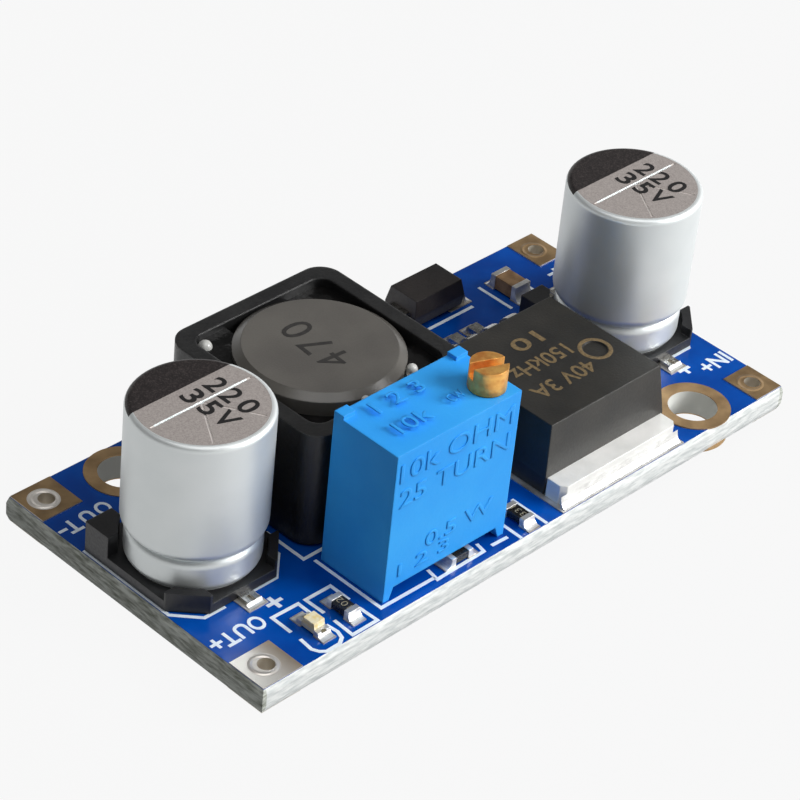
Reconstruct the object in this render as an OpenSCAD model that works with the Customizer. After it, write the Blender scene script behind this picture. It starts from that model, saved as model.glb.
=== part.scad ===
// Buck converter module: a small blue circuit board with its power parts, and a
// multi-turn trimmer whose worm drives a rotor inside the housing.
// Millimetres. X runs from the output end (-) to the input end (+), Y from the
// trimmer's edge (-) to the diode's edge (+), and Z up from the board's underside.
// The origin is the centre of the two mounting holes.

/* [Board] */
// Length of the board, from its output end to its input end
board_l = 43; // [42.6:0.2:45]
// Width of the board
board_w = 21; // [20.8:0.2:23]
// Thickness of the board
board_t = 1.6; // [1:0.1:2.4]
// Shift of the board's outline along X from the centre of the copper pattern
outline_dx = -0.3; // [-0.4:0.1:0.2]
// Shift of the board's outline along Y from the centre of the copper pattern
outline_dy = 0.1; // [0:0.05:0.2]
// Setback of each face where the V cut along the edges was snapped
v_cut = 0.12; // [0.04:0.02:0.2]
// Depth of the V cut from each face
v_cut_depth = 0.4; // [0.1:0.05:0.45]

/* [Copper and holes] */
// Distance of each mounting hole from the end of the copper pattern
hole_in_x = 6.25; // [6:0.05:6.5]
// Distance of each mounting hole from the side of the copper pattern
hole_in_y = 2.3; // [2.2:0.05:2.5]
// Diameter of the mounting holes
hole_d = 3; // [2.5:0.1:3.2]
// Outer diameter of the bare copper ring round each mounting hole
ring_d = 4.6; // [4:0.1:4.6]
// Thickness of the copper foil with its plating
foil_t = 0.07; // [0.04:0.01:0.1]
// Length of a wire pad along X, to the end of the copper pattern
pad_l = 2.7; // [2.4:0.1:3]
// Width of a wire pad along Y, to the side of the copper pattern
pad_w = 2.9; // [2.6:0.1:3.2]
// Space between neighbouring pieces of copper
copper_gap = 0.2; // [0.15:0.01:0.3]
// Diameter of the wire holes, inside their plating
wire_hole_d = 1; // [0.7:0.1:1.2]

/* [Capacitors] */
// Distance between the two capacitors' axes
cap_pitch = 34.7; // [34.2:0.1:34.8]
// Place of both capacitors' axes along Y
cap_y = 0.1; // [0:0.05:0.2]
// Diameter of the aluminium can
can_d = 8.2; // [7:0.1:8.3]
// Height of the capacitor above the board
can_h = 10.7; // [7:0.1:13]
// Radius of the can's top edge
can_edge = 0.35; // [0.2:0.05:0.8]
// Margin of the square plastic base round the can
cap_base_margin = 0.05; // [0.05:0.05:0.3]
// Chamfer at the base's two positive corners
cap_base_chamfer = 1.7; // [1.2:0.1:2]
// Height of the base's floor above the board, on which the can stands
cap_floor = 0.7; // [0.6:0.05:1]
// Length of the base's corner posts along each side
cap_post_l = 1.85; // [1.4:0.05:2.2]
// Height of the two square corners above the board
cap_rear_post = 2.1; // [1.4:0.1:2.6]
// Height of the two chamfered corners above the board
cap_front_post = 1.3; // [1.2:0.1:2]
// Distance between the two lead posts
cap_lead_pitch = 3.1; // [2.4:0.1:3.4]
// Span over the tips of the two leads
cap_lead_span = 10; // [9:0.1:10.2]
// Width of the flat leads
cap_lead_w = 0.9; // [0.6:0.05:1.1]

/* [Inductor] */
// Space between the output capacitor's base and the inductor's shield
ind_gap = 1.05; // [0.6:0.05:1.2]
// Place of the inductor's axis along Y
ind_y = 2.55; // [2.4:0.05:2.8]
// Side of the ferrite shield
shield_w = 12.3; // [12:0.1:12.4]
// Radius of the shield's corners
shield_r = 1.4; // [0.8:0.1:2]
// Wall of the shield
shield_wall = 1; // [0.8:0.05:1.2]
// Height of the shield's top above the board
shield_h = 7.7; // [6:0.1:9]
// Height that the drum core stands above the shield
drum_proud = 0.25; // [0.05:0.05:0.5]
// Gap between the drum's flanges and the shield
drum_gap = 0.2; // [0.05:0.05:0.3]
// Thickness of the drum's upper flange
drum_top_t = 1.5; // [1:0.1:2]
// Diameter of the drum's neck, inside the winding
drum_neck_d = 4.6; // [3.6:0.2:6]
// Diameter of the winding wire
wire_d = 0.6; // [0.4:0.05:0.8]
// Width of each inductor terminal
ind_term_w = 5; // [3:0.5:7]
// Length that each inductor terminal stands out of the shield
ind_term_out = 0.1; // [0.05:0.01:0.15]

/* [Regulator] */
// Place of the regulator's middle along X
reg_x = 6.85; // [6.7:0.05:7]
// Place of the outer edge of the regulator's tab along Y
reg_tab_y = -9.8; // [-9.85:0.05:-9.6]
// Width of the moulded body
reg_w = 10.1; // [9.6:0.1:10.3]
// Length of the moulded body along Y
reg_l = 9.6; // [8.4:0.1:9.8]
// Height of the body's top above the board
reg_h = 4.7; // [3.8:0.05:5]
// Length of tab left bare in front of the body
reg_tab_l = 1.3; // [1:0.1:1.6]
// Thickness of the tab
reg_tab_t = 1.27; // [0.8:0.01:1.4]
// Slope of the body's upper sides, as setback at the top
reg_draft = 0.4; // [0.1:0.05:0.45]
// Number of leads
reg_leads = 5; // [3:2:5]
// Distance between neighbouring leads
reg_pitch = 1.7; // [1.5:0.05:1.8]
// Width of a lead
reg_lead_w = 0.8; // [0.5:0.05:1]
// Thickness of a lead
reg_lead_t = 0.5; // [0.3:0.05:0.6]
// Length over the tab and the leads
reg_over_l = 15.2; // [14.8:0.1:15.6]
// Length of the tab's plate under the body
reg_slug_l = 6.2; // [4:0.2:8]
// Side of the notch at each end of the tab
reg_notch = 0.45; // [0.2:0.05:0.6]

/* [Diode] */
// Place of the diode's middle along X
dio_x = 9.5; // [9:0.1:10]
// Place of the diode's middle along Y
dio_y = 8.75; // [8.5:0.05:8.9]
// Length of the diode's body
dio_l = 4.3; // [3.8:0.1:4.6]
// Width of the diode's body
dio_w = 2.6; // [2.2:0.1:2.8]
// Height of the diode's top above the board
dio_h = 2.15; // [1.8:0.05:2.6]
// Width of the diode's terminals
dio_term_w = 1.45; // [1:0.05:1.8]
// Span over the diode's terminals
dio_span = 5.1; // [4.9:0.05:5.4]

/* [Solder] */
// Reach of the solder past a lead's end
solder_reach = 0.4; // [0.2:0.05:0.5]
// Height of the solder along the regulator's tab
tab_solder_h = 0.75; // [0.4:0.05:1]
// Height of the solder at the diode's ends
diode_solder_h = 0.6; // [0.4:0.05:1]
// Breadth of the solder cone round each trimmer pin
cone_out = 0.45; // [0.3:0.05:0.6]
// Width of the solder on each side of a lead
solder_side = 0.1; // [0.05:0.01:0.2]

/* [Small chips] */
// Length of a small chip
chip_l = 1.6; // [1.4:0.05:1.7]
// Width of a small chip
chip_w = 0.8; // [0.6:0.05:0.9]
// Height of a small resistor's body
chip_h = 0.45; // [0.35:0.05:0.5]
// Length of the metal cap on each end of a small chip
chip_cap_l = 0.3; // [0.2:0.05:0.4]
// Length of the input's ceramic capacitor
bypass_l = 2; // [1.8:0.1:2.2]
// Width of the input's ceramic capacitor
bypass_w = 1.25; // [1:0.05:1.5]
// Height of the input's ceramic capacitor
bypass_h = 0.9; // [0.6:0.05:1.3]
// Height of the lamp's circuit base
led_base_h = 0.24; // [0.15:0.01:0.35]
// Height of the lamp's clear block
led_lens_h = 0.4; // [0.2:0.05:0.6]

/* [Trimmer] */
// Place of the trimmer's middle along X
trim_x = -7.15; // [-7.2:0.05:-7.05]
// Place of the trimmer's middle along Y
trim_y = -6.88; // [-6.95:0.01:-6.8]
// Length of the trimmer's housing
trim_l = 9.53; // [9.4:0.01:9.7]
// Width of the trimmer's housing
trim_w = 4.83; // [4.7:0.01:4.9]
// Height of the housing above the board
trim_h = 10.03; // [9.8:0.01:12]
// Height of the rails that the housing stands on
trim_rail = 0.78; // [0.7:0.02:0.9]
// Front and far end wall of the housing
trim_wall = 0.6; // [0.5:0.02:0.65]
// Top wall of the housing, through which the screw passes
trim_top = 0.9; // [0.8:0.05:1.1]
// Distance of the screw from the housing's near end
screw_in_x = 1.27; // [1.2:0.01:1.35]
// Distance of the screw from the housing's front
screw_in_y = 1.45; // [1.4:0.01:1.6]
// Diameter of the screw's head
screw_head_d = 2.19; // [1.8:0.01:2.3]
// Height of the screw's head
screw_head_h = 1.52; // [1:0.02:2]
// Width of the screw's slot
slot_w = 0.6; // [0.3:0.02:0.7]
// Depth of the screw's slot
slot_depth = 0.76; // [0.4:0.02:0.9]
// Direction of the slot, from X
slot_angle = -22; // [-90:1:90]
// Diameter of the screw's neck
neck_d = 1.3; // [1:0.05:1.4]
// Running clearance round the screw's neck, its foot and the rotor's bore
running_gap = 0.05; // [0.03:0.01:0.08]
// Least space between the rotor and the housing
rotor_room = 0.24; // [0.15:0.01:0.4]
// Teeth on the rotor
rotor_teeth = 30; // [28:1:30]
// Radius of the worm's core
worm_root_r = 0.5; // [0.4:0.02:0.54]
// Height of the worm's thread and of the rotor's teeth
thread_h = 0.4; // [0.3:0.02:0.42]
// Clearance between the worm's thread and the rotor
mesh_gap = 0.12; // [0.1:0.01:0.14]
// Thickness of the rotor
rotor_t = 0.9; // [0.7:0.05:1]
// Thickness of the ceramic element
element_t = 0.64; // [0.5:0.02:0.7]
// Diameter of the trimmer's pins
pin_d = 0.51; // [0.4:0.01:0.6]
// Distance between neighbouring pins
pin_pitch = 2.54; // [2.4:0.01:2.6]
// Length of pin left below the board
pin_stub = 1; // [0.8:0.05:1.4]

/* [Hidden] */
$fn = 64;
eps = 0.01;

// Board: its edges, and the middles of the four wire pads
edge_x = [outline_dx - board_l / 2, outline_dx + board_l / 2];
edge_y = [outline_dy - board_w / 2, outline_dy + board_w / 2];
plating_t = 0.05;
mount_x = board_l / 2 - hole_in_x;
mount_y = board_w / 2 - hole_in_y;
mount_holes = [[-mount_x, mount_y], [mount_x, -mount_y]];
pad_edge = v_cut + 0.03;
function pad_in(x, y) = [sign(x) * (board_l / 2 - pad_l), sign(y) * (board_w / 2 - pad_w)];
function pad_out(x, y) = [x - sign(x) * pad_edge, y - sign(y) * pad_edge];
function pad_middle(x, y) = (pad_in(x, y) + pad_out(x, y)) / 2;

// Capacitors
can_r = can_d / 2;
cap_x = cap_pitch / 2;
cap_base_w = can_d + 2 * cap_base_margin;
can_play = 0.03;
cap_lead_t = 0.25;
cap_post_r = 0.35;

// Inductor
shield_stand = 0.15;
shield_bore_w = shield_w - 2 * shield_wall;
shield_bore_r = max(0.4, shield_r - shield_wall + 0.5);
flange_r = shield_bore_w / 2 - drum_gap;
drum_top = shield_h + drum_proud;
drum_low_t = 1.2;
ind_base_top = 0.6;
ind_foot_t = 0.25;
winding_z = [ind_base_top + drum_low_t, drum_top - drum_top_t];
winding_rows = floor((winding_z[1] - winding_z[0]) / wire_d);
ind_x = -cap_x + cap_base_w / 2 + ind_gap + shield_w / 2;
ind_solder_l = min(solder_reach, (ind_gap - ind_term_out) / 2);

// Regulator
reg_front = reg_tab_y + reg_tab_l;
reg_back = reg_front + reg_l;
reg_tip = reg_tab_y + reg_over_l;
reg_shoulder = 2.45;
reg_bend_r = 0.4;
tab_solder_l = 0.45;

// Middle of each small chip
led_at = [-16.25, -8.35];
led_resistor_at = [-14, -8.35];
feedback_resistor_at = [-0.75, -8.9];
feedback_capacitor_at = [trim_x + 1.15, trim_y - trim_w / 2 + 0.13];
bypass_at = [15.3, 6.95];
cap_skin = 0.04;
fillet_l = 0.45;
land_past_fillet = 0.08;

// Trimmer, in its own frame: middle of the housing in X and Y, board top in Z
screw_x = trim_l / 2 - screw_in_x;
screw_y = screw_in_y - trim_w / 2;
thread_r = worm_root_r + thread_h;
floor_t = 0.6;
chamber_z = [trim_rail + floor_t, trim_h - trim_top];
chamber_x = [-trim_l / 2 + trim_wall, trim_l / 2 - trim_wall];
// The rotor is the largest that the chamber holds beside the worm
rotor_tip_r = min(
    (screw_x - worm_root_r - mesh_gap - chamber_x[0] - rotor_room) / 2,
    (chamber_z[1] - chamber_z[0]) / 2 - rotor_room);
rotor_pitch_r = rotor_tip_r - thread_h / 2;
rotor_root_r = rotor_tip_r - thread_h;
worm_lead = 2 * PI * rotor_pitch_r / rotor_teeth;
rotor_x = screw_x - worm_root_r - mesh_gap - rotor_tip_r;
rotor_z = (chamber_z[0] + chamber_z[1]) / 2;
chamber_front = -trim_w / 2 + trim_wall;
rotor_back = screw_y + rotor_t / 2;
rotor_front = screw_y - rotor_t / 2;
wiper_room = 0.62;
element_front = rotor_back + wiper_room;
element_back = element_front + element_t;
axle_r = 0.9;
wiper_t = 0.15;
track_t = 0.04;
track_r = [1.9, 2.7];
pin_y = (element_front + element_back) / 2;
pin_hole_r = pin_d / 2 + 0.15;
seal_h = 0.4;
seal_r = neck_d / 2 + 0.35;

// Points along an arc, for outlines
function arc(cx, cy, r, a0, a1, n = 4) =
    [for (i = [0:n]) let (a = a0 + (a1 - a0) * i / n) [cx + r * cos(a), cy + r * sin(a)]];

// Outline of a bent lead in Y and Z: shoulder, drop and foot
function gull_wing(y_in, y_bend, y_tip, z_shoulder, z_foot, t, r) = concat(
    [[y_in, z_shoulder], [y_in, z_shoulder + t]],
    arc(y_bend, z_shoulder - r, r + t, 90, 0),
    arc(y_bend + 2 * r + t, z_foot + t + r, r, 180, 270),
    [[y_tip, z_foot + t], [y_tip, z_foot]],
    arc(y_bend + 2 * r + t, z_foot + t + r, r + t, 270, 180),
    arc(y_bend, z_shoulder - r, r, 0, 90));

// Turns an outline drawn in Y and Z into a plate of width w along X
module across_x(w) {
    rotate([90, 0, 90]) linear_extrude(height = w, center = true) children();
}

// Turns an outline drawn in X and Z into a plate from y0 to y1
module along_y(y0, y1) {
    translate([0, y1, 0]) rotate([90, 0, 0]) linear_extrude(height = y1 - y0) children();
}

module rounded_square(w, r) {
    square([w, w - 2 * r], center = true);
    square([w - 2 * r, w], center = true);
    for (x = [-1, 1], y = [-1, 1])
        translate([x, y] * (w / 2 - r)) circle(r);
}

// A block whose four sides lean in from its widest level to its top and foot
module moulded_block(l, w, z_foot, z_wide, z_top, draft, foot_draft) {
    intersection() {
        across_x(l + 1) polygon([
            [-w / 2 + foot_draft, z_foot], [w / 2 - foot_draft, z_foot], [w / 2, z_wide],
            [w / 2 - draft, z_top], [-w / 2 + draft, z_top], [-w / 2, z_wide]]);
        along_y(-w, w) polygon([
            [-l / 2 + foot_draft, z_foot], [l / 2 - foot_draft, z_foot], [l / 2, z_wide],
            [l / 2 - draft, z_top], [-l / 2 + draft, z_top], [-l / 2, z_wide]]);
    }
}

// Hollow solder fillet: its foot runs l along +Y from the origin, its height is h
module fillet(l, h, w) {
    across_x(w) polygon(concat([[0, 0]],
        [for (i = [0:5]) let (a = i * 18) [l * (1 - sin(a)), h * (1 - cos(a))]]));
}

module on_board(at, turn = 0) {
    translate([at[0], at[1], board_t]) rotate([0, 0, turn]) children();
}

// --- Board ---

module board() {
    color("#1450a8") difference() {
        intersection() {
            translate([outline_dx, 0, 0]) across_x(board_l) board_edges(edge_y);
            along_y(edge_y[0], edge_y[1]) board_edges(edge_x);
        }
        for (p = mount_holes) through_hole(p, hole_d / 2);
        for (x = edge_x, y = edge_y)
            through_hole(pad_middle(x, y), wire_hole_d / 2 + plating_t);
        for (i = [-1:1]) through_hole(pin_at(i), pin_hole_r);
    }
}

// Section of the board between two edges, with the snapped V cut at each
module board_edges(edge) {
    polygon([
        [edge[0] + v_cut, 0], [edge[1] - v_cut, 0],
        [edge[1], v_cut_depth], [edge[1], board_t - v_cut_depth],
        [edge[1] - v_cut, board_t], [edge[0] + v_cut, board_t],
        [edge[0], board_t - v_cut_depth], [edge[0], v_cut_depth]]);
}

module through_hole(p, r) {
    translate([p[0], p[1], -1]) cylinder(r = r, h = board_t + 2);
}

function pin_at(i) = [trim_x + i * pin_pitch, trim_y + pin_y];

// Bare pads at the corners, with a plated hole for a wire
module wire_pads() {
    color("#c8a070") for (x = edge_x, y = edge_y) wire_pad(x, y);
}

module wire_pad(x, y) {
    middle = pad_middle(x, y);
    difference() {
        union() {
            for (z = [-foil_t, board_t]) translate([0, 0, z])
                linear_extrude(height = foil_t) pad_outline(x, y);
            translate([middle[0], middle[1], -foil_t / 2])
                cylinder(r = wire_hole_d / 2 + plating_t, h = board_t + foil_t);
        }
        through_hole(middle, wire_hole_d / 2);
    }
}

// Outline of the pad at one corner, grown by a margin
module pad_outline(x, y, margin = 0) {
    size = pad_out(x, y) - pad_in(x, y);
    translate(pad_middle(x, y))
        square([abs(size[0]) + 2 * margin, abs(size[1]) + 2 * margin], center = true);
}

module mounting_hole_rings() {
    color("#b98b5e") for (p = mount_holes, z = [-foil_t, board_t])
        translate([p[0], p[1], z]) difference() {
            cylinder(d = ring_d, h = foil_t);
            translate([0, 0, -1]) cylinder(d = hole_d, h = foil_t + 2);
        }
}

// Copper that the parts are soldered to, kept clear of the wire pads and the rings
module component_lands() {
    color("#c8a070") difference() {
        all_lands();
        translate([0, 0, -1]) linear_extrude(height = board_t + 2) {
            for (x = edge_x, y = edge_y) pad_outline(x, y, copper_gap);
            for (p = mount_holes) translate(p) circle(d = ring_d + 2 * copper_gap);
        }
    }
}

module all_lands() {
    lead_land_in = cap_lead_pitch / 2 + 1;
    lead_land_out = cap_lead_span / 2 + solder_reach;
    for (x = [-cap_x, cap_x], turn = [0, 180]) on_board([x, cap_y], turn)
        land([0, (lead_land_in + lead_land_out) / 2],
             [cap_lead_w + 0.5, lead_land_out - lead_land_in]);
    for (turn = [0, 180]) on_board([ind_x, ind_y], turn)
        land([shield_w / 2 - 0.5, 0], [1.6, ind_term_w + 0.4]);
    on_board([reg_x, 0]) {
        tab_land = [reg_tab_y - tab_solder_l, reg_front + reg_slug_l];
        land([0, (tab_land[0] + tab_land[1]) / 2], [reg_w + 0.4, tab_land[1] - tab_land[0]]);
        for (i = lead_numbers()) land([i * reg_pitch, reg_tip - 0.8], [1.1, 2.6]);
    }
    for (turn = [0, 180]) on_board([dio_x, dio_y], turn)
        land([dio_span / 2 - 0.4, 0], [1.9, dio_term_w + 0.9]);
    for (c = chips(), turn = [0, 180]) on_board(c[0], c[1] + turn)
        land([0, c[2] / 2 + (fillet_l + land_past_fillet - 0.3) / 2],
             [c[3] + 0.15, fillet_l + land_past_fillet + 0.3]);
    for (i = [-1:1], z = [-foil_t, board_t]) translate([pin_at(i)[0], pin_at(i)[1], z])
        difference() {
            cylinder(r = pin_hole_r + cone_out + 0.05, h = foil_t);
            translate([0, 0, -1]) cylinder(r = pin_hole_r, h = foil_t + 2);
        }
}

module land(middle, size) {
    translate([middle[0], middle[1], foil_t / 2]) cube([size[0], size[1], foil_t], center = true);
}

// Each small chip: place, turn, length, width and height
function chips() = [
    [led_at, 0, chip_l, chip_w, led_base_h],
    [led_resistor_at, 0, chip_l, chip_w, chip_h],
    [feedback_resistor_at, 0, chip_l, chip_w, chip_h],
    [feedback_capacitor_at, 90, chip_l, chip_w, chip_h],
    [bypass_at, 0, bypass_l, bypass_w, bypass_h]];

// --- Electrolytic capacitors ---

// Drawn aluminium can, crimped above its rolled rim, with a scored vent on top
module capacitor_can(x) {
    color("#d9dcdc") on_board([x, cap_y]) difference() {
        rotate_extrude($fn = 96) can_section();
        for (a = [0, 180, 238, 302]) rotate([0, 0, a])
            translate([0, -0.07, can_h - 0.06]) cube([can_r - can_edge - 0.15, 0.14, 1]);
    }
}

module can_section() {
    rim_h = 2.1;
    rim_r = can_r - 0.25;
    rim_edge = 0.5;
    shoulder = 0.7;
    body_z = cap_floor + rim_h;
    translate([0, cap_floor]) square([can_r - 0.5, can_h - cap_floor - can_edge]);
    translate([0, cap_floor]) square([rim_r - rim_edge, rim_h]);
    translate([0, cap_floor + rim_edge]) square([rim_r, rim_h - 2 * rim_edge]);
    for (z = [cap_floor + rim_edge, body_z - rim_edge])
        translate([rim_r - rim_edge, z]) circle(rim_edge);
    translate([can_r - shoulder, body_z + shoulder]) circle(shoulder);
    translate([0, body_z + shoulder]) square([can_r, can_h - body_z - shoulder - can_edge]);
    translate([0, can_h - can_edge - eps]) square([can_r - can_edge, can_edge + eps]);
    translate([can_r - can_edge, can_h - can_edge]) circle(can_edge);
}

// Moulded base: floor, four corner posts round the can, and grooves for the leads
module capacitor_base(x) {
    color("#1d1e20") on_board([x, cap_y]) difference() {
        union() {
            translate([0, 0, foil_t]) linear_extrude(height = cap_floor - foil_t) base_outline();
            linear_extrude(height = cap_front_post) intersection() {
                base_outline();
                corner_squares([-1]);
            }
            translate([0, 0, foil_t]) linear_extrude(height = cap_rear_post - foil_t)
                intersection() {
                    base_outline();
                    corner_squares([1]);
                }
        }
        translate([0, 0, cap_floor]) cylinder(r = can_r + can_play, h = can_h, $fn = 96);
        translate([0, 0, foil_t / 2]) cube([20, 20, foil_t], center = true);
        for (turn = [0, 180]) rotate([0, 0, turn]) {
            translate([-cap_lead_w / 2 - 0.05, cap_lead_pitch / 2 - 0.7, -1])
                cube([cap_lead_w + 0.1, 20, 1 + foil_t + cap_lead_t]);
            translate([0, cap_lead_pitch / 2, -1]) cylinder(r = cap_post_r + 0.05, h = 4);
        }
    }
}

module base_outline() {
    h = cap_base_w / 2;
    c = cap_base_chamfer;
    polygon([[-h + c, -h], [h - c, -h], [h, -h + c], [h, h], [-h, h], [-h, -h + c]]);
}

module corner_squares(sides) {
    for (x = [-1, 1], y = sides)
        translate([x, y] * cap_base_w / 2) square(2 * cap_post_l, center = true);
}

// Flat leads: a foot in the base's groove and a round post up to the can
module capacitor_leads(x) {
    color("#cfcfcc") on_board([x, cap_y]) for (turn = [0, 180]) rotate([0, 0, turn]) {
        tip = cap_lead_span / 2;
        root = cap_lead_pitch / 2 - 0.65;
        difference() {
            union() {
                translate([-cap_lead_w / 2, root, foil_t]) cube([cap_lead_w, tip - root, cap_lead_t]);
                translate([0, cap_lead_pitch / 2, foil_t])
                    cylinder(r = cap_post_r, h = cap_floor - foil_t);
            }
            translate([-0.14, tip - 0.5, -1]) cube([0.28, 1, 2]);
        }
    }
}

module output_capacitor_can() { capacitor_can(-cap_x); }
module output_capacitor_base() { capacitor_base(-cap_x); }
module output_capacitor_leads() { capacitor_leads(-cap_x); }
module input_capacitor_can() { capacitor_can(cap_x); }
module input_capacitor_base() { capacitor_base(cap_x); }
module input_capacitor_leads() { capacitor_leads(cap_x); }

// --- Inductor ---

// Square ferrite tube with rounded corners, notched at its foot for the terminals
module inductor_shield() {
    color("#2b2c2e") on_board([ind_x, ind_y]) difference() {
        translate([0, 0, shield_stand]) linear_extrude(height = shield_h - shield_stand)
            difference() {
                rounded_square(shield_w, shield_r);
                rounded_square(shield_bore_w, shield_bore_r);
            }
        translate([0, 0, foil_t + ind_foot_t / 2])
            cube([20, ind_term_w + 0.1, ind_foot_t], center = true);
    }
}

// Drum core: two flanges on a neck, the upper flange chamfered
module inductor_core() {
    chamfer = 0.5;
    color("#5b5c58") on_board([ind_x, ind_y]) rotate_extrude($fn = 96) polygon([
        [0, ind_base_top], [flange_r, ind_base_top], [flange_r, winding_z[0]],
        [drum_neck_d / 2, winding_z[0]], [drum_neck_d / 2, winding_z[1]],
        [flange_r, winding_z[1]], [flange_r, drum_top - 0.35],
        [flange_r - chamfer, drum_top], [0, drum_top]]);
}

// Enamelled wire wound between the flanges, its outer turns rounded
module inductor_winding() {
    outer = flange_r - wire_d / 2 - 0.25;
    color("#7a3d1c") on_board([ind_x, ind_y]) rotate_extrude($fn = 96) {
        translate([drum_neck_d / 2, winding_z[0]])
            square([outer - drum_neck_d / 2, winding_rows * wire_d]);
        for (i = [0:winding_rows - 1])
            translate([outer, winding_z[0] + (i + 0.5) * wire_d]) circle(wire_d / 2 - eps, $fn = 24);
    }
}

// Black resin in the four corners between the drum and the shield, each filled to its own level
module inductor_filler() {
    corners = [[-1, -1, 1], [1, -1, 0.6], [1, 1, 0.6], [-1, 1, 0.45]];
    color("#17181a") on_board([ind_x, ind_y]) for (c = corners)
        translate([0, 0, winding_z[1]])
            linear_extrude(height = shield_h - c[2] - winding_z[1]) difference() {
                intersection() {
                    rounded_square(shield_bore_w, shield_bore_r);
                    translate([c[0], c[1]] * 4.4) square(4, center = true);
                }
                circle(flange_r, $fn = 96);
            }
}

// Drops of clear glue that hold the drum in its shield: angle, foot and radius of each
module inductor_adhesive() {
    drops = [[-56, -0.6, 0.32], [-105, 0, 0.26]];
    corner = shield_bore_w / 2 - 0.62;
    color("#e8e8e4") on_board([ind_x, ind_y]) {
        translate([-corner, corner, shield_h - 0.45]) glue_drop(0.42, 0);
        for (d = drops) rotate([0, 0, d[0]])
            translate([flange_r + d[2] + 0.02, 0, shield_h + d[1]]) glue_drop(d[2], -d[1] * 0.6);
    }
}

// A drop on a short stem
module glue_drop(r, stem) {
    translate([0, 0, stem]) intersection() {
        sphere(r, $fn = 32);
        translate([0, 0, r]) cube(2 * r, center = true);
    }
    if (stem > 0) cylinder(r = r, h = stem, $fn = 32);
}

// Moulded plate under the drum
module inductor_base() {
    color("#3a3b3d") on_board([ind_x, ind_y])
        translate([0, 0, foil_t + ind_foot_t])
            linear_extrude(height = ind_base_top - foil_t - ind_foot_t)
                rounded_square(shield_bore_w - 0.1, shield_bore_r);
}

module inductor_terminals() {
    color("#cfcfcc") on_board([ind_x, ind_y]) for (turn = [0, 180]) rotate([0, 0, turn])
        translate([shield_w / 2 - 2.2, -ind_term_w / 2, foil_t])
            cube([2.2 + ind_term_out, ind_term_w, ind_foot_t]);
}

// --- Regulator ---

function lead_numbers() = [for (i = [0:reg_leads - 1]) i - (reg_leads - 1) / 2];

// Moulded body on its tab, with the round mark of an ejector pin on top
module regulator_body() {
    color("#232426") difference() {
        on_board([reg_x, reg_front + reg_l / 2]) difference() {
            moulded_block(reg_w, reg_l, foil_t, reg_tab_t + foil_t, reg_h, reg_draft, 0.15);
            translate([reg_w / 2 - 2.2, -reg_l / 2 + 3.9, reg_h - 0.1]) cylinder(d = 1.5, h = 1);
        }
        tab_solid();
        for (i = lead_numbers()) lead_solid(i);
    }
}

// Copper slug: the bare tab in front, its ears, and the plate under the body
module regulator_tab() {
    color("#d6d6d2") tab_solid();
}

module tab_solid() {
    slug_w = reg_w - 2;
    ear = reg_w / 2 - 0.15;
    on_board([reg_x, 0]) translate([0, 0, foil_t]) linear_extrude(height = reg_tab_t) {
        difference() {
            translate([-ear, reg_tab_y]) square([2 * ear, reg_tab_l]);
            for (x = [-1, 1]) translate([x * ear, reg_tab_y])
                rotate([0, 0, 45]) square(reg_notch, center = true);
        }
        translate([-slug_w / 2, reg_front - eps]) square([slug_w, reg_slug_l]);
    }
}

module regulator_leads() {
    color("#cfcfcc") for (i = lead_numbers()) lead_solid(i);
}

module lead_solid(i) {
    on_board([reg_x + i * reg_pitch, 0]) across_x(reg_lead_w)
        polygon(gull_wing(reg_back - 0.9, reg_back + 1, reg_tip, reg_shoulder, foil_t,
                          reg_lead_t, reg_bend_r));
}

// --- Diode ---

module diode_body() {
    color("#222325") difference() {
        on_board([dio_x, dio_y])
            moulded_block(dio_l, dio_w, foil_t + 0.24, dio_h / 2, dio_h, 0.2, 0.1);
        diode_strips();
    }
}

module diode_terminals() {
    color("#cfcfcc") diode_strips();
}

// Two strips that leave the body's ends at mid height and fold down under it
module diode_strips() {
    t = 0.2;
    out = dio_span / 2;
    mid = dio_h / 2 - 0.05;
    on_board([dio_x, dio_y]) for (turn = [0, 180]) rotate([0, 0, turn])
        along_y(-dio_term_w / 2, dio_term_w / 2) polygon([
            [dio_l / 2 - 0.5, mid], [out - t, mid], [out - t, foil_t + t],
            [out - 1.3, foil_t + t], [out - 1.3, foil_t], [out, foil_t],
            [out, mid + t - 0.1], [out - 0.1, mid + t], [dio_l / 2 - 0.5, mid + t]]);
}

// --- Small chips ---

module chip_body(at, turn, l, w, h) {
    on_board(at, turn) translate([0, 0, foil_t + cap_skin + h / 2]) cube([w, l, h], center = true);
}

// Metal caps that wrap both ends of a chip
module chip_caps(at, turn, l, w, h) {
    on_board(at, turn) translate([0, 0, foil_t + cap_skin + h / 2]) difference() {
        for (s = [-1, 1]) translate([0, s * (l + cap_skin - chip_cap_l) / 2, 0])
            cube([w + 2 * cap_skin, chip_cap_l + cap_skin, h + 2 * cap_skin], center = true);
        cube([w, l, h], center = true);
    }
}

// Lamp: circuit base with a half-round notch at each end, and a clear block on it
module led_base() {
    color("#e6e2cf") on_board(led_at) difference() {
        translate([0, 0, foil_t + cap_skin + led_base_h / 2])
            cube([chip_w, chip_l, led_base_h], center = true);
        for (s = [-1, 1]) translate([0, s * chip_l / 2, -1]) cylinder(r = 0.18, h = 3, $fn = 32);
    }
}

module led_lens() {
    lens_z = foil_t + cap_skin + led_base_h;
    lens_l = chip_l - 2 * chip_cap_l - 0.02;
    color("#f3ecc8") on_board(led_at) translate([0, 0, lens_z]) across_x(chip_w)
        polygon([[-lens_l / 2, 0], [lens_l / 2, 0],
                 [lens_l / 2 - 0.08, led_lens_h], [-lens_l / 2 + 0.08, led_lens_h]]);
}

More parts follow.
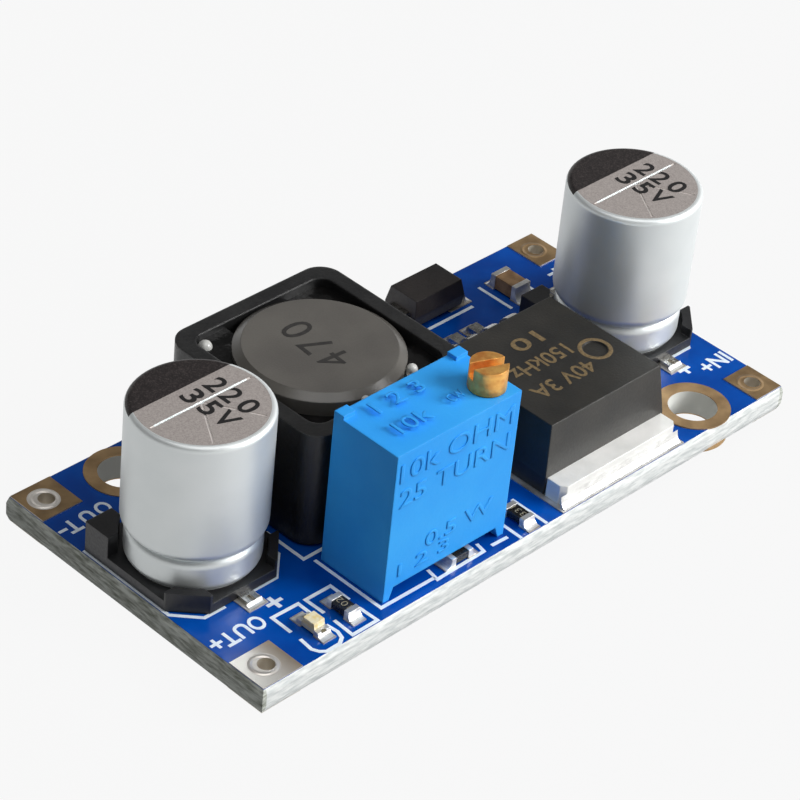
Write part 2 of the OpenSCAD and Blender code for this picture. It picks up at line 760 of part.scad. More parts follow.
module led_terminals() {
    color("#d8c890") difference() {
        chip_caps(led_at, 0, chip_l, chip_w, led_base_h);
        on_board(led_at) for (s = [-1, 1])
            translate([0, s * (chip_l / 2 + cap_skin), -1]) cylinder(r = 0.18, h = 3, $fn = 32);
    }
}

resistor_colour = "#26221f";
ceramic_colour = "#8a6a4a";
tin_colour = "#d8d8d4";

module led_resistor_body() {
    color(resistor_colour) chip_body(led_resistor_at, 0, chip_l, chip_w, chip_h);
}

module led_resistor_caps() {
    color(tin_colour) chip_caps(led_resistor_at, 0, chip_l, chip_w, chip_h);
}

module feedback_resistor_body() {
    color(resistor_colour) chip_body(feedback_resistor_at, 0, chip_l, chip_w, chip_h);
}

module feedback_resistor_caps() {
    color(tin_colour) chip_caps(feedback_resistor_at, 0, chip_l, chip_w, chip_h);
}

module feedback_capacitor_body() {
    color(ceramic_colour) chip_body(feedback_capacitor_at, 90, chip_l, chip_w, chip_h);
}

module feedback_capacitor_caps() {
    color(tin_colour) chip_caps(feedback_capacitor_at, 90, chip_l, chip_w, chip_h);
}

module bypass_capacitor_body() {
    color(ceramic_colour) chip_body(bypass_at, 0, bypass_l, bypass_w, bypass_h);
}

module bypass_capacitor_caps() {
    color(tin_colour) chip_caps(bypass_at, 0, bypass_l, bypass_w, bypass_h);
}

// --- Trimmer ---

module in_trimmer() { on_board([trim_x, trim_y]) children(); }

// Housing: moulded shell open at the back, on two rails, with the rotor's axle inside
module trimmer_housing() {
    rail_in = trim_l / 2 - 0.45;
    foot_r = neck_d / 2 - 0.15 + running_gap;
    color("#1e7fe0") in_trimmer() {
        difference() {
            union() {
                translate([-trim_l / 2, -trim_w / 2, 0]) cube([trim_l, trim_w, trim_h]);
                for (s = [-1, 1]) translate([s * (trim_l / 2 - 0.45), trim_w / 2 - 0.35, trim_h])
                    cube([0.9, 0.7, 0.5], center = true);
            }
            along_y(-trim_w, trim_w) polygon([
                [-rail_in, -1], [rail_in, -1], [rail_in, 0],
                [rail_in - 0.3, trim_rail], [0.3 - rail_in, trim_rail], [-rail_in, 0]]);
            translate([chamber_x[0], chamber_front, chamber_z[0]])
                cube([chamber_x[1] - chamber_x[0], trim_w, chamber_z[1] - chamber_z[0]]);
            translate([screw_x, screw_y, 0]) {
                translate([0, 0, chamber_z[0]])
                    cylinder(r = thread_r + mesh_gap / 2, h = chamber_z[1] - chamber_z[0]);
                translate([0, 0, chamber_z[0] - 0.4]) cylinder(r = foot_r, h = 1);
                translate([0, 0, chamber_z[1] - eps]) cylinder(d = neck_d + 2 * running_gap, h = 3);
                translate([0, 0, chamber_z[1] - eps]) cylinder(r = seal_r, h = seal_h + eps);
            }
            for (i = [-1:1]) translate([i * pin_pitch, pin_y, -1])
                cylinder(r = pin_hole_r - 0.05, h = 4);
        }
        translate([rotor_x, 0, rotor_z]) rotate([90, 0, 0])
            translate([0, 0, -rotor_back]) cylinder(r = axle_r, h = rotor_back - chamber_front + eps);
    }
}

// Plate that closes the back of the housing
module trimmer_cover() {
    color("#1b6fc8") in_trimmer() chamber_plate(element_back, trim_w / 2 - 0.1);
}

// A plate that fills the housing's chamber from y0 to y1
module chamber_plate(y0, y1) {
    translate([chamber_x[0], y0, chamber_z[0]])
        cube([chamber_x[1] - chamber_x[0], y1 - y0, chamber_z[1] - chamber_z[0]]);
}

// Brass screw: slotted head, neck, worm and foot, all on one axis
module trimmer_screw() {
    head_z = trim_h + 0.05;
    worm_z = [chamber_z[0] + 0.15, chamber_z[1] - 0.15];
    foot_z = chamber_z[0] - 0.3;
    color("#c98a3c") in_trimmer() translate([screw_x, screw_y, 0]) {
        difference() {
            translate([0, 0, head_z]) cylinder(d = screw_head_d, h = screw_head_h);
            translate([0, 0, head_z + screw_head_h]) rotate([0, 0, slot_angle])
                cube([4, slot_w, 2 * slot_depth], center = true);
        }
        translate([0, 0, worm_z[1] - eps]) cylinder(d = neck_d, h = head_z - worm_z[1] + 2 * eps);
        translate([0, 0, foot_z]) cylinder(r = worm_root_r - eps, h = worm_z[1] - foot_z);
        translate([0, 0, rotor_z]) worm();
    }
}

// One-start thread: a section with one trapezoid lobe, twisted one turn for each lead.
// The lobe's angles give the thread's thickness along the axis.
module worm() {
    turns = 5;
    lobe_foot = 70;
    lobe_tip = 20;
    section = concat(
        [for (a = [-lobe_tip, 0, lobe_tip]) thread_r * [cos(a), sin(a)]],
        [for (a = [lobe_foot:20:360 - lobe_foot]) worm_root_r * [cos(a), sin(a)]]);
    translate([0, 0, -turns * worm_lead / 2]) rotate([0, 0, 180 + 180 * turns])
        linear_extrude(height = turns * worm_lead, twist = -360 * turns, slices = 12 * turns,
                       segments = len(section))
            polygon(section);
}

// Rubber ring that seals the screw's neck
module trimmer_seal() {
    color("#141414") in_trimmer() translate([screw_x, screw_y, chamber_z[1]]) difference() {
        cylinder(r = seal_r, h = seal_h);
        translate([0, 0, -1]) cylinder(d = neck_d + 2 * running_gap, h = 3);
    }
}

// Toothed rotor that the worm turns, on the housing's axle
module trimmer_rotor() {
    tooth_foot = 0.3;
    tooth_tip = 0.1;
    step = 360 / rotor_teeth;
    foot_a = tooth_foot / rotor_root_r * 90 / PI;
    tip_a = tooth_tip / rotor_tip_r * 90 / PI;
    outline = [for (i = [0:rotor_teeth - 1], c = [
        [rotor_root_r, -foot_a], [rotor_tip_r, -tip_a], [rotor_tip_r, tip_a], [rotor_root_r, foot_a]])
        let (a = (i + 0.5) * step + c[1]) c[0] * [cos(a), sin(a)]];
    color("#e9e4d4") in_trimmer() translate([rotor_x, 0, rotor_z]) rotate([90, 0, 0])
        translate([0, 0, -rotor_back]) difference() {
            linear_extrude(height = rotor_t) polygon(outline);
            translate([0, 0, -1]) cylinder(r = axle_r + running_gap, h = 4);
        }
}

// Spring contact on the rotor, with an arm that reaches the track
module trimmer_wiper() {
    reach = wiper_room - track_t - 0.06;
    color("#d9c27a") in_trimmer() translate([rotor_x, rotor_back, rotor_z]) rotate([-90, 0, 0]) {
        difference() {
            cylinder(r = 1.7, h = wiper_t);
            translate([0, 0, -1]) cylinder(r = axle_r + 0.3, h = 3);
        }
        along_y(-0.35, 0.35) polygon([
            [1.4, 0], [1.9, 0], [2.5, reach - 0.1], [2.5, reach],
            [2.2, reach], [1.6, wiper_t], [1.4, wiper_t]]);
    }
}

// Ceramic plate that carries the resistive track
module trimmer_element() {
    color("#efe9dc") in_trimmer() chamber_plate(element_front, element_back);
}

// Resistive film, a ring with a gap between its ends at the foot
module trimmer_track() {
    color("#2e2a26") in_trimmer() translate([rotor_x, element_front, rotor_z]) rotate([90, 0, 0])
        difference() {
            cylinder(r = track_r[1], h = track_t);
            translate([0, 0, -1]) cylinder(r = track_r[0], h = 3);
            translate([-0.5, -4, -1]) cube([1, 4, 3]);
        }
}

module trimmer_pins() {
    color("#cfcfcc") for (i = [-1:1]) translate([pin_at(i)[0], pin_at(i)[1], -pin_stub])
        cylinder(d = pin_d, h = pin_stub + board_t + chamber_z[0]);
}

// --- Solder ---

module solder_capacitors() {
    color("#d4d2cc") for (x = [-cap_x, cap_x], turn = [0, 180]) on_board([x, cap_y], turn)
        translate([0, cap_lead_span / 2, foil_t])
            fillet(solder_reach - 0.1, cap_lead_t * 0.9, cap_lead_w + 2 * solder_side);
}

module solder_inductor() {
    color("#d4d2cc") on_board([ind_x, ind_y]) for (turn = [0, 180]) rotate([0, 0, turn - 90])
        translate([0, shield_w / 2 + ind_term_out, foil_t])
            fillet(ind_solder_l, ind_foot_t, ind_term_w + 2 * solder_side);
}

module solder_regulator() {
    color("#d4d2cc") {
        on_board([reg_x, reg_tab_y], 180) translate([0, 0, foil_t])
            fillet(tab_solder_l, tab_solder_h, reg_w);
        for (i = lead_numbers()) on_board([reg_x + i * reg_pitch, reg_tip])
            translate([0, 0, foil_t])
                fillet(solder_reach, reg_lead_t * 0.9, reg_lead_w + 2 * solder_side);
    }
}

module solder_diode() {
    color("#d4d2cc") on_board([dio_x, dio_y]) for (turn = [0, 180]) rotate([0, 0, turn - 90])
        translate([0, dio_span / 2, foil_t])
            fillet(solder_reach + 0.1, diode_solder_h, dio_term_w + 0.6);
}

module solder_chips() {
    color("#d4d2cc") for (c = chips(), turn = [0, 180]) on_board(c[0], c[1] + turn)
        translate([0, c[2] / 2 + cap_skin, foil_t])
            fillet(fillet_l - cap_skin, c[4] * 0.85, c[3] + 0.1);
}

// Joint at each trimmer pin: solder that fills the hole and cones down the stub
module solder_trimmer() {
    cone_r = cone_out + pin_hole_r - pin_d / 2;
    cone_h = pin_stub * 0.8 - foil_t;
    color("#d4d2cc") for (i = [-1:1]) translate([pin_at(i)[0], pin_at(i)[1], 0]) difference() {
        rotate_extrude($fn = 48) union() {
            translate([0, -foil_t]) square([pin_hole_r, board_t + 2 * foil_t]);
            translate([0, -foil_t]) mirror([0, 1]) polygon(concat([[0, 0]],
                [for (i = [0:5]) let (a = i * 18)
                    [pin_d / 2 + 0.02 + cone_r * (1 - sin(a)), cone_h * (1 - cos(a))]],
                [[0, cone_h]]));
        }
        translate([0, 0, -5]) cylinder(d = pin_d, h = 10);
    }
}

board();
wire_pads();
mounting_hole_rings();
component_lands();
output_capacitor_can();
output_capacitor_base();
output_capacitor_leads();
input_capacitor_can();
input_capacitor_base();
input_capacitor_leads();
inductor_shield();
inductor_core();
inductor_winding();
inductor_filler();
inductor_adhesive();
inductor_base();
inductor_terminals();
regulator_body();
regulator_tab();
regulator_leads();
diode_body();
diode_terminals();
led_base();
led_lens();
led_terminals();
led_resistor_body();
led_resistor_caps();
feedback_resistor_body();
feedback_resistor_caps();
feedback_capacitor_body();
feedback_capacitor_caps();
bypass_capacitor_body();
bypass_capacitor_caps();
trimmer_housing();
trimmer_cover();
trimmer_screw();
trimmer_seal();
trimmer_rotor();
trimmer_wiper();
trimmer_element();
trimmer_track();
trimmer_pins();
solder_capacitors();
solder_inductor();
solder_regulator();
solder_diode();
solder_chips();
solder_trimmer();
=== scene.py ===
import bmesh
import bpy
import math
from mathutils import Matrix, Vector


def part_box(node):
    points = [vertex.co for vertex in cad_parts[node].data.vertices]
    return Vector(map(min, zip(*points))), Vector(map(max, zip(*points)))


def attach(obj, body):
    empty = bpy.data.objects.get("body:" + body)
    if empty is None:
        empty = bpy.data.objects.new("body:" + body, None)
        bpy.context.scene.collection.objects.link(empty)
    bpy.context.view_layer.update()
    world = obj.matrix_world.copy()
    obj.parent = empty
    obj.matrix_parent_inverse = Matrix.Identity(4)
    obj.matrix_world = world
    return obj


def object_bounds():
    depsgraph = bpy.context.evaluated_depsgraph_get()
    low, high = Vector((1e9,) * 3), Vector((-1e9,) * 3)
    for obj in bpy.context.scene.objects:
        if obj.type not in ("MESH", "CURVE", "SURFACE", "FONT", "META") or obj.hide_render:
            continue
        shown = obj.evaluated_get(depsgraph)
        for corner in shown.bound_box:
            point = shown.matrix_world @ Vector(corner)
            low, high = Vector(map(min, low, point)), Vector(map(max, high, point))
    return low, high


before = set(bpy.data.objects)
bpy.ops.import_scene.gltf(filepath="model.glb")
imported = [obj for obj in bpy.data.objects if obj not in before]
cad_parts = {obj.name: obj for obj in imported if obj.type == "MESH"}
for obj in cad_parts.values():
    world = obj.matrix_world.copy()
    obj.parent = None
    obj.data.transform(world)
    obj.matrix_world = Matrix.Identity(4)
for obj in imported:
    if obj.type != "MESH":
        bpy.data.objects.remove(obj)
cad_box = [list(corner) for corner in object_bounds()]


# The circuit board: 1.6 mm glass-epoxy sheet under a glossy deep blue solder mask, snapped out
# of its panel along scored lines, so that its cut edges show pale glass fibre. Its two end edges
# are painted darker than its sides, as shade.
mm = 0.001
board_low, board_high = [Vector(c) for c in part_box("board")]
board_mid = (board_low + board_high) / 2


def paint(red, green, blue):
    """A colour as a screen shows it, 0 to 255, turned into the shader's own scale."""
    tones = [c / 255 for c in (red, green, blue)]
    return tuple(c / 12.92 if c <= 0.04045 else ((c + 0.055) / 1.055) ** 2.4 for c in tones)


def span(node, low, high, first=0.0, last=1.0):
    """Sets a Map Range node to turn low to high into first to last."""
    for words, value in (("From Min", low), ("From Max", high),
                         ("To Min", first), ("To Max", last)):
        node.inputs[words].default_value = value


# What every material starts from: clouds of two tones, and a finer grain that moves the roughness
# and the relief.
worked_surface = bpy.data.node_groups.new("worked_surface", "ShaderNodeTree")
for words, kind in (("Place", "NodeSocketVector"), ("Cloud Scale", "NodeSocketFloat"),
                    ("Grain Scale", "NodeSocketFloat"), ("Grain Depth", "NodeSocketFloat"),
                    ("Light", "NodeSocketColor"), ("Dark", "NodeSocketColor"),
                    ("Smooth", "NodeSocketFloat"), ("Dull", "NodeSocketFloat")):
    worked_surface.interface.new_socket(name=words, in_out="INPUT", socket_type=kind)
for words, kind in (("Colour", "NodeSocketColor"), ("Roughness", "NodeSocketFloat"),
                    ("Normal", "NodeSocketVector"), ("Grain", "NodeSocketFloat")):
    worked_surface.interface.new_socket(name=words, in_out="OUTPUT", socket_type=kind)
steps, wires = worked_surface.nodes, worked_surface.links
given, made = steps.new("NodeGroupInput"), steps.new("NodeGroupOutput")
cloud, grain = steps.new("ShaderNodeTexNoise"), steps.new("ShaderNodeTexNoise")
cloud.inputs["Detail"].default_value = 3
grain.inputs["Detail"].default_value = 4
stretch, gloss = steps.new("ShaderNodeMapRange"), steps.new("ShaderNodeMapRange")
span(stretch, 0.36, 0.64)
span(gloss, 0.3, 0.7)
tone, relief = steps.new("ShaderNodeMix"), steps.new("ShaderNodeBump")
tone.data_type = "RGBA"
for sort, scale in ((cloud, "Cloud Scale"), (grain, "Grain Scale")):
    wires.new(given.outputs["Place"], sort.inputs["Vector"])
    wires.new(given.outputs[scale], sort.inputs["Scale"])
wires.new(cloud.outputs["Fac"], stretch.inputs["Value"])
wires.new(stretch.outputs["Result"], tone.inputs["Factor"])
wires.new(given.outputs["Dark"], tone.inputs["A"])
wires.new(given.outputs["Light"], tone.inputs["B"])
wires.new(grain.outputs["Fac"], gloss.inputs["Value"])
wires.new(given.outputs["Smooth"], gloss.inputs["To Min"])
wires.new(given.outputs["Dull"], gloss.inputs["To Max"])
wires.new(grain.outputs["Fac"], relief.inputs["Height"])
wires.new(given.outputs["Grain Depth"], relief.inputs["Distance"])
wires.new(tone.outputs["Result"], made.inputs["Colour"])
wires.new(gloss.outputs["Result"], made.inputs["Roughness"])
wires.new(relief.outputs["Normal"], made.inputs["Normal"])
wires.new(grain.outputs["Fac"], made.inputs["Grain"])


class Finish:
    """One material with its shader, its place node and its own copy of the worked surface."""

    def __init__(self, name, light, dark, smooth, dull, metal=0.0, cloud=400, grain=7000,
                 depth=4e-6, edge=0.0):
        self.material = bpy.data.materials.new(name)
        self.material.use_nodes = True
        self.tree = self.material.node_tree
        self.shader = self.tree.nodes["Principled BSDF"]
        self.place = self.tree.nodes.new("ShaderNodeTexCoord")
        self.surface = self.tree.nodes.new("ShaderNodeGroup")
        self.surface.node_tree = worked_surface
        for words, value in (("Cloud Scale", cloud), ("Grain Scale", grain),
                             ("Grain Depth", depth), ("Light", (*paint(*light), 1)),
                             ("Dark", (*paint(*dark), 1)), ("Smooth", smooth), ("Dull", dull)):
            self.surface.inputs[words].default_value = value
        self.shader.inputs["Metallic"].default_value = metal
        self.wire(self.place.outputs["Object"], self.surface.inputs["Place"])
        self.wire(self.surface.outputs["Colour"], self.shader.inputs["Base Color"])
        self.wire(self.surface.outputs["Roughness"], self.shader.inputs["Roughness"])
        if edge:
            rounded = self.add("ShaderNodeBevel")
            rounded.samples = 4
            rounded.inputs["Radius"].default_value = edge
            bump = self.add("ShaderNodeBump")
            bump.inputs["Distance"].default_value = depth
            self.wire(self.surface.outputs["Grain"], bump.inputs["Height"])
            self.wire(rounded.outputs["Normal"], bump.inputs["Normal"])
            self.wire(bump.outputs["Normal"], self.shader.inputs["Normal"])
        else:
            self.wire(self.surface.outputs["Normal"], self.shader.inputs["Normal"])

    def add(self, kind):
        """A new node in this material."""
        return self.tree.nodes.new(kind)

    def wire(self, source, target):
        """A link from an output to an input."""
        self.tree.links.new(source, target)

    def calc(self, kind, first, second=0.0):
        """A Math node on one or two values, which are numbers or sockets."""
        node = self.add("ShaderNodeMath")
        node.operation = kind
        for socket, value in zip(node.inputs, (first, second)):
            if isinstance(value, (int, float)):
                socket.default_value = value
            else:
                self.wire(value, socket)
        return node.outputs[0]

    def apart(self, first, second):
        """How far two values lie from each other."""
        return self.calc("ABSOLUTE", self.calc("SUBTRACT", first, second))

    def radius(self, across, over):
        """The distance from a middle, from its two parts."""
        squares = [self.calc("MULTIPLY", part, part) for part in (across, over)]
        return self.calc("SQRT", self.calc("ADD", *squares))

    def both(self, first, second):
        """A mask that is 1 where two masks are."""
        return self.calc("MULTIPLY", first, second)

    def axes(self, output="Object"):
        """The three parts of the place, or of the normal, in the piece's own axes."""
        parts = self.add("ShaderNodeSeparateXYZ")
        self.wire(self.place.outputs[output], parts.inputs[0])
        return parts.outputs

    def mixed(self, factor, first, second):
        """A colour between two others, which are screen colours or sockets."""
        mix = self.add("ShaderNodeMix")
        mix.data_type = "RGBA"
        self.wire(factor, mix.inputs["Factor"])
        for letter, colour in (("A", first), ("B", second)):
            if isinstance(colour, tuple):
                mix.inputs[letter].default_value = (*paint(*colour), 1)
            else:
                self.wire(colour, mix.inputs[letter])
        return mix.outputs["Result"]

    def over(self, mask, colour):
        """Lays another colour over the base colour where the mask is 1."""
        old = self.shader.inputs["Base Color"].links[0].from_socket
        self.wire(self.mixed(mask, old, colour), self.shader.inputs["Base Color"])

    def vary(self, socket, mask, value):
        """Moves a value of the shader towards another where the mask is 1."""
        target = self.shader.inputs[socket]
        mix = self.add("ShaderNodeMix")
        self.wire(mask, mix.inputs["Factor"])
        if target.links:
            self.wire(target.links[0].from_socket, mix.inputs["A"])
        else:
            mix.inputs["A"].default_value = target.default_value
        mix.inputs["B"].default_value = value
        self.wire(mix.outputs["Result"], target)


def dress(finish, *nodes):
    """Gives a finish to the material slots of CAD nodes or pieces."""
    for node in nodes:
        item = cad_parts[node] if isinstance(node, str) else node
        if not item.material_slots:
            item.data.materials.append(finish.material)
        for holder in item.material_slots:
            holder.material = finish.material


mask_blue = Finish("mask_blue", (0, 80, 176), (0, 64, 152), 0.14, 0.26, cloud=260, grain=2600,
                   depth=6e-6, edge=0.00008)
mask_blue.shader.inputs["Specular IOR Level"].default_value = 0.4
board_x, board_y = mask_blue.axes()[:2]
cut_zone = 0.3 * mm
upright = mask_blue.calc("LESS_THAN", mask_blue.calc("ABSOLUTE", mask_blue.axes("Normal")[2]), 0.6)
past_end = mask_blue.calc("GREATER_THAN", mask_blue.apart(board_x, board_mid.x),
                          board_high.x - board_mid.x - cut_zone)
past_side = mask_blue.calc("GREATER_THAN", mask_blue.apart(board_y, board_mid.y),
                           board_high.y - board_mid.y - cut_zone)
outer = mask_blue.both(upright, mask_blue.calc("MAXIMUM", past_end, past_side))
layers = mask_blue.add("ShaderNodeMapping")
layers.inputs["Scale"].default_value = (0.2, 0.2, 1.0)
mask_blue.wire(mask_blue.place.outputs["Object"], layers.inputs["Vector"])
fibre = mask_blue.add("ShaderNodeTexNoise")
fibre.inputs["Scale"].default_value = 5200
fibre.inputs["Detail"].default_value = 6
mask_blue.wire(layers.outputs["Vector"], fibre.inputs["Vector"])
sharper = mask_blue.add("ShaderNodeMapRange")
span(sharper, 0.34, 0.62)
mask_blue.wire(fibre.outputs["Fac"], sharper.inputs["Value"])
sawn = mask_blue.mixed(sharper.outputs["Result"], (206, 211, 210), (246, 248, 246))
# The two end edges get a darker fibre colour than the sides: painted shade.
end_fibre_painted_shade = mask_blue.mixed(sharper.outputs["Result"], (128, 132, 120), (226, 230, 222))
mask_blue.over(upright, (226, 227, 222))
mask_blue.over(outer, sawn)
mask_blue.over(mask_blue.both(outer, past_end), end_fibre_painted_shade)
mask_blue.vary("Roughness", upright, 0.6)
dress(mask_blue, "board")


# The legend on the board: pale bluish white epoxy ink, silk-screened in 0.22 mm lines round the
# places of the parts, with the plain words of the four wire pads.
ink_line = 0.22 * mm
ink_thick = 0.018 * mm
legend_lines = [
    [(-21.22, 4.2), (-21.22, -2.77), (-19.9, -4.15), (-18.4, -4.17)],
    [(-16.3, -4.15), (-14.6, -4.15), (-13.1, -2.72), (-13.05, 4.1)],
    [(15.2, -4.2), (16.34, -4.2)], [(18.44, -4.2), (19.94, -4.2), (21.2, -2.8), (21.2, 4.1)],
    [(-17.1, -7.96), (-17.08, -6.45), (-15.18, -6.5), (-15.22, -8.02)],
    [(-17.1, -8.68), (-17.2, -9.65), (-17.0, -10.05), (-16.68, -10.29), (-15.7, -10.28),
     (-15.28, -10.0), (-15.12, -9.5), (-15.22, -8.72)],
    [(-14.62, -7.94), (-14.65, -6.52), (-12.78, -6.53), (-12.79, -8.0)],
    [(-14.62, -8.73), (-14.68, -10.21), (-12.8, -10.2), (-12.85, -8.8)],
    [(-11.93, -4.4), (-11.93, -9.61), (-7.83, -9.66)],
    [(-7.66, -8.95), (-7.82, -9.86), (-4.05, -9.8), (-3.9, -9.1)],
    [(-3.35, -9.72), (-2.11, -9.78)],
    [(-1.5, -7.6), (-1.55, -10.35)], [(0.55, -7.6), (0.55, -10.35)],
    [(-12.35, -0.9), (-12.35, -3.95), (-10.4, -3.95)],
    [(-0.6, 9.2), (0.95, 9.2), (0.95, 6.8)], [(-10.4, 9.2), (-12.35, 9.2), (-12.35, 7.1)],
    [(14.35, 5.45), (14.35, 8.3)], [(16.9, 5.45), (16.9, 8.3)],
    [(6.2, 7.1), (12.6, 7.1)], [(6.2, 10.2), (12.6, 10.2)],
]
bpy.ops.object.select_all(action="DESELECT")
ink_dot = 0.4 * mm
bpy.ops.mesh.primitive_plane_add(size=ink_dot, location=(board_mid.x + 13.1 * mm,
                                 board_mid.y - 4.2 * mm, board_high.z))
board_legend = bpy.context.object
board_legend.name = "board_legend"
bpy.ops.object.transform_apply(location=True, rotation=True, scale=True)
bpy.ops.object.mode_set(mode="EDIT")
for line in legend_lines:
    line = [Vector((board_mid.x + x * mm, board_mid.y + y * mm)) for x, y in line]
    sides = []
    for k, corner in enumerate(line):
        ahead = (line[min(k + 1, len(line) - 1)] - line[min(k, len(line) - 2)]).normalized()
        behind = (line[max(k, 1)] - line[max(k - 1, 0)]).normalized()
        across = Vector((-ahead.y - behind.y, ahead.x + behind.x)).normalized()
        across *= ink_line / 2 / across.dot(Vector((-ahead.y, ahead.x)))
        sides.append([(corner + across).to_3d(), (corner - across).to_3d()])
    for start, end in zip(sides, sides[1:]):
        bpy.ops.mesh.select_all(action="DESELECT")
        bpy.ops.mesh.primitive_plane_add(size=1)
        sheet = bmesh.from_edit_mesh(board_legend.data)
        for vertex in sheet.verts:
            if vertex.select:
                place = (end if vertex.co.x > 0 else start)[0 if vertex.co.y > 0 else 1]
                vertex.co = place + Vector((0, 0, board_high.z))
        bmesh.update_edit_mesh(board_legend.data)
bpy.ops.mesh.select_all(action="SELECT")
bpy.ops.mesh.remove_doubles(threshold=1e-6)
bpy.ops.mesh.extrude_region_move(TRANSFORM_OT_translate={"value": (0, 0, ink_thick)})
bpy.ops.mesh.select_all(action="SELECT")
bpy.ops.mesh.normals_make_consistent(inside=False)
bpy.ops.object.mode_set(mode="OBJECT")


def lettering(words, tall, wide, at, along, up, proud, sunk=0.0, weight=0.0, round_off=0.0):
    """Letters laid on a face: tall and wide are the whole size, at is the middle on the face."""
    bpy.ops.object.select_all(action="DESELECT")
    bpy.ops.object.text_add()
    mark = bpy.context.object
    mark.data.body = words
    mark.data.extrude = 0.05
    mark.data.offset = weight
    mark.data.bevel_depth = round_off
    mark.data.resolution_u = 4
    bpy.ops.object.convert(target="MESH")
    mark = bpy.context.object
    across = [v.co.x for v in mark.data.vertices]
    over = [v.co.y for v in mark.data.vertices]
    through = [v.co.z for v in mark.data.vertices]
    along, up = Vector(along).normalized(), Vector(up).normalized()
    out = along.cross(up)
    grow = Vector((wide / (max(across) - min(across)), tall / (max(over) - min(over)),
                   (proud + sunk) / (max(through) - min(through))))
    shift = Matrix.Translation(-Vector(((max(across) + min(across)) / 2,
                                        (max(over) + min(over)) / 2, min(through))))
    turn = Matrix((along * grow.x, up * grow.y, out * grow.z)).transposed().to_4x4()
    mark.matrix_world = Matrix.Translation(Vector(at) - out * sunk) @ turn @ shift
    bpy.ops.object.transform_apply(location=True, rotation=True, scale=True)
    bpy.ops.object.mode_set(mode="EDIT")
    bpy.ops.mesh.select_all(action="SELECT")
    bpy.ops.mesh.remove_doubles(threshold=1e-7)
    bpy.ops.mesh.normals_make_consistent(inside=False)
    bpy.ops.object.mode_set(mode="OBJECT")
    return mark


def joined(name, parts):
    """Several pieces made one, under one name."""
    bpy.ops.object.select_all(action="DESELECT")
    for part in parts:
        part.select_set(True)
    bpy.context.view_layer.objects.active = parts[0]
    bpy.ops.object.join()
    parts[0].name = name
    return parts[0]


legend = [board_legend]
for words, x, y, tall, wide in (("O", -18.02, -6.24, 1.12, 0.95), ("U", -19.02, -6.2, 1.1, 0.88),
                                ("T", -20.0, -6.24, 1.1, 0.9), ("+", -20.84, -6.12, 0.8, 0.8),
                                ("O", -17.98, 6.35, 1.12, 0.95), ("U", -19.15, 6.3, 1.1, 0.88),
                                ("T", -20.3, 6.2, 1.1, 0.9), ("-", -21.0, 6.22, 0.2, 0.6),
                                ("IN+", 20.05, -6.2, 1.15, 2.3), ("IN-", 19.95, 6.3, 1.15, 2.3),
                                ("+", -16.1, -5.6, 0.98, 1.1), ("+", 18.0, -5.5, 0.95, 0.95)):
    legend.append(lettering(words, tall * mm, wide * mm,
                            (board_mid.x + x * mm, board_mid.y + y * mm, board_high.z),
                            (-1, 0, 0), (0, -1, 0), ink_thick, weight=0.022))
board_legend = joined("board_legend", legend)
legend_ink = Finish("legend_ink", (240, 248, 255), (222, 234, 246), 0.4, 0.6, cloud=1800,
                    grain=16000, depth=3e-6)
dress(legend_ink, board_legend)
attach(board_legend, "module")


# Bare copper: the four wire pads, plated through their holes, the rings round the two mounting
# holes and the lands under the parts. The plus output's pad is tinned, the others are tarnished;
# the tin fades from bright at the board's end to copper towards its middle, a painted reflection.
pad_copper = Finish("pad_copper", (176, 146, 106), (140, 114, 80), 0.34, 0.5, metal=0.6, cloud=700,
                    grain=5200, depth=6e-6)
pad_low, pad_high = [Vector(c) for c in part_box("wire_pads")]
pad_mid = (pad_low + pad_high) / 2
pad_x, pad_y = pad_copper.axes()[:2]
wire_x, wire_y = 20.075 * mm, 8.975 * mm
lip_radius, lip_width, tinned_radius = 0.72 * mm, 0.14 * mm, 0.95 * mm
from_hole = pad_copper.radius(
    pad_copper.calc("SUBTRACT", pad_copper.apart(pad_x, pad_mid.x), wire_x),
    pad_copper.calc("SUBTRACT", pad_copper.apart(pad_y, pad_mid.y), wire_y))
pad_level = pad_copper.calc("ABSOLUTE", pad_copper.axes("Normal")[2])
pad_inner = pad_copper.calc("LESS_THAN", pad_level, 0.5)
output_end = pad_copper.calc("LESS_THAN", pad_x, 0.0)
tin_and_reflection_corner = pad_copper.both(output_end, pad_copper.calc("LESS_THAN", pad_y, 0.0))
# The tin is real; its fade from bright to copper along the pad is a painted reflection.
tin_fade_painted_reflection = pad_copper.add("ShaderNodeMapRange")
span(tin_fade_painted_reflection, -20.4 * mm, -18.9 * mm, 1.0, 0.25)
pad_copper.wire(pad_x, tin_fade_painted_reflection.inputs["Value"])
tin_and_reflection_corner = pad_copper.both(tin_and_reflection_corner, tin_fade_painted_reflection.outputs["Result"])
pad_copper.over(tin_and_reflection_corner, (236, 232, 224))
pad_copper.vary("Roughness", tin_and_reflection_corner, 0.3)
off_lip = pad_copper.calc("MULTIPLY", pad_copper.apart(from_hole, lip_radius), 1 / lip_width)
ring_near = pad_copper.calc("MAXIMUM", pad_copper.calc("SUBTRACT", 1.0, off_lip), 0.0)
tinned_ring = pad_copper.both(pad_copper.calc("LESS_THAN", from_hole, tinned_radius), output_end)
pad_copper.over(tinned_ring, (228, 222, 214))
pad_copper.over(pad_inner, (206, 198, 184))
swell = pad_copper.add("ShaderNodeBump")
swell.inputs["Distance"].default_value = 0.06 * mm
pad_copper.wire(ring_near, swell.inputs["Height"])
pad_copper.wire(pad_copper.surface.outputs["Normal"], swell.inputs["Normal"])
pad_copper.wire(swell.outputs["Normal"], pad_copper.shader.inputs["Normal"])
dress(pad_copper, "wire_pads")
ring_copper = Finish("ring_copper", (196, 162, 118), (160, 130, 92), 0.34, 0.5, metal=0.6,
                     cloud=700, grain=5200, depth=6e-6)
dress(ring_copper, "mounting_hole_rings")
land_tin = Finish("land_tin", (216, 212, 206), (176, 166, 152), 0.38, 0.55, metal=0.7, cloud=900,
                  grain=4200, depth=1e-5)
dress(land_tin, "component_lands")


